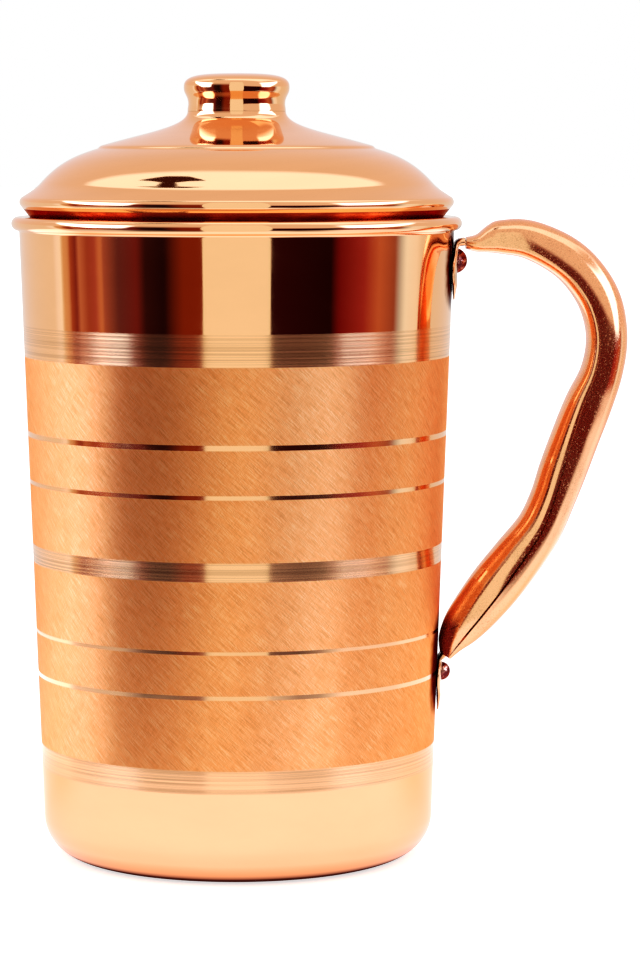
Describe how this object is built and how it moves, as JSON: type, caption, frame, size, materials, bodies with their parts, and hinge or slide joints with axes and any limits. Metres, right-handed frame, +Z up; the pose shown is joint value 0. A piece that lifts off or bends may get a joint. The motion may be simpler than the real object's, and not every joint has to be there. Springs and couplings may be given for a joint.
{
  "type": "lidded water jug",
  "caption": "Tall round copper water jug with a flared wall, curled lip, hollow riveted side handle and a lift-off domed lid with a knob.",
  "frame": {"origin": "centre of the flat base, on the jug's axis", "axes": "+Z up along the jug's axis, +X towards the handle, +Y to the left of the handle"},
  "size_m": [0.1648, 0.1204, 0.2099],
  "materials": {
    "body_copper": "copper, polished at lip and foot, brushed satin between",
    "handle_copper": "polished copper with light tarnish",
    "rivet_copper": "hammered copper, dull",
    "lid_copper": "polished copper"
  },
  "bodies": {
    "jug": {"jug_body": "body_copper", "handle_outer_shell": "handle_copper", "handle_inner_shell": "handle_copper", "upper_leaf_bracket": "handle_copper", "lower_leaf_bracket": "handle_copper", "upper_rivet": "rivet_copper", "lower_rivet": "rivet_copper"},
    "lid": {"lid_dome": "lid_copper", "lid_collar": "lid_copper", "lid_knob": "lid_copper"}
  },
  "joints": [
    {"name": "lid_lift", "type": "slide", "parent": "jug", "child": "lid", "axis": [0, 0, 1], "range_m": [0, 0.09]}
  ]
}
